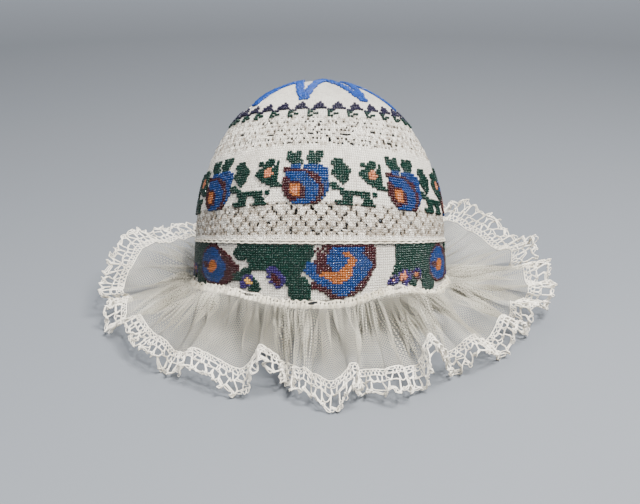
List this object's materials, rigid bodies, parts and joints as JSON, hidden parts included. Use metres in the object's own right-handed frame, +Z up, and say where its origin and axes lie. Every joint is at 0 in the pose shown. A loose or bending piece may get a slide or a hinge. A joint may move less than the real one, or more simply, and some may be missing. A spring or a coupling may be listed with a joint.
{
  "type": "child's knitted and beaded cap with a gathered net frill",
  "caption": "Small knitted cotton cap with glass bead flowers round the band and crown, openwork rounds and a wide gathered net frill edged with lace.",
  "frame": {"origin": "middle of the bounding box in plan, on the surface that the cap lies on", "axes": "+Z up, the front of the cap towards -Y, the cap's left side at +X"},
  "size_m": [0.232, 0.2238, 0.1157],
  "materials": {
    "knitted_cotton": "matt",
    "bead_knit": "glossy beads on matt cotton",
    "cotton_strip": "matt",
    "cotton_net": "matt, see-through",
    "cotton_lace": "matt"
  },
  "bodies": {
    "root": {"crown": "knitted_cotton", "bead_band": "bead_knit", "frill_heading": "cotton_strip", "net_frill": "cotton_net", "lace_edging": "cotton_lace"}
  },
  "joints": []
}
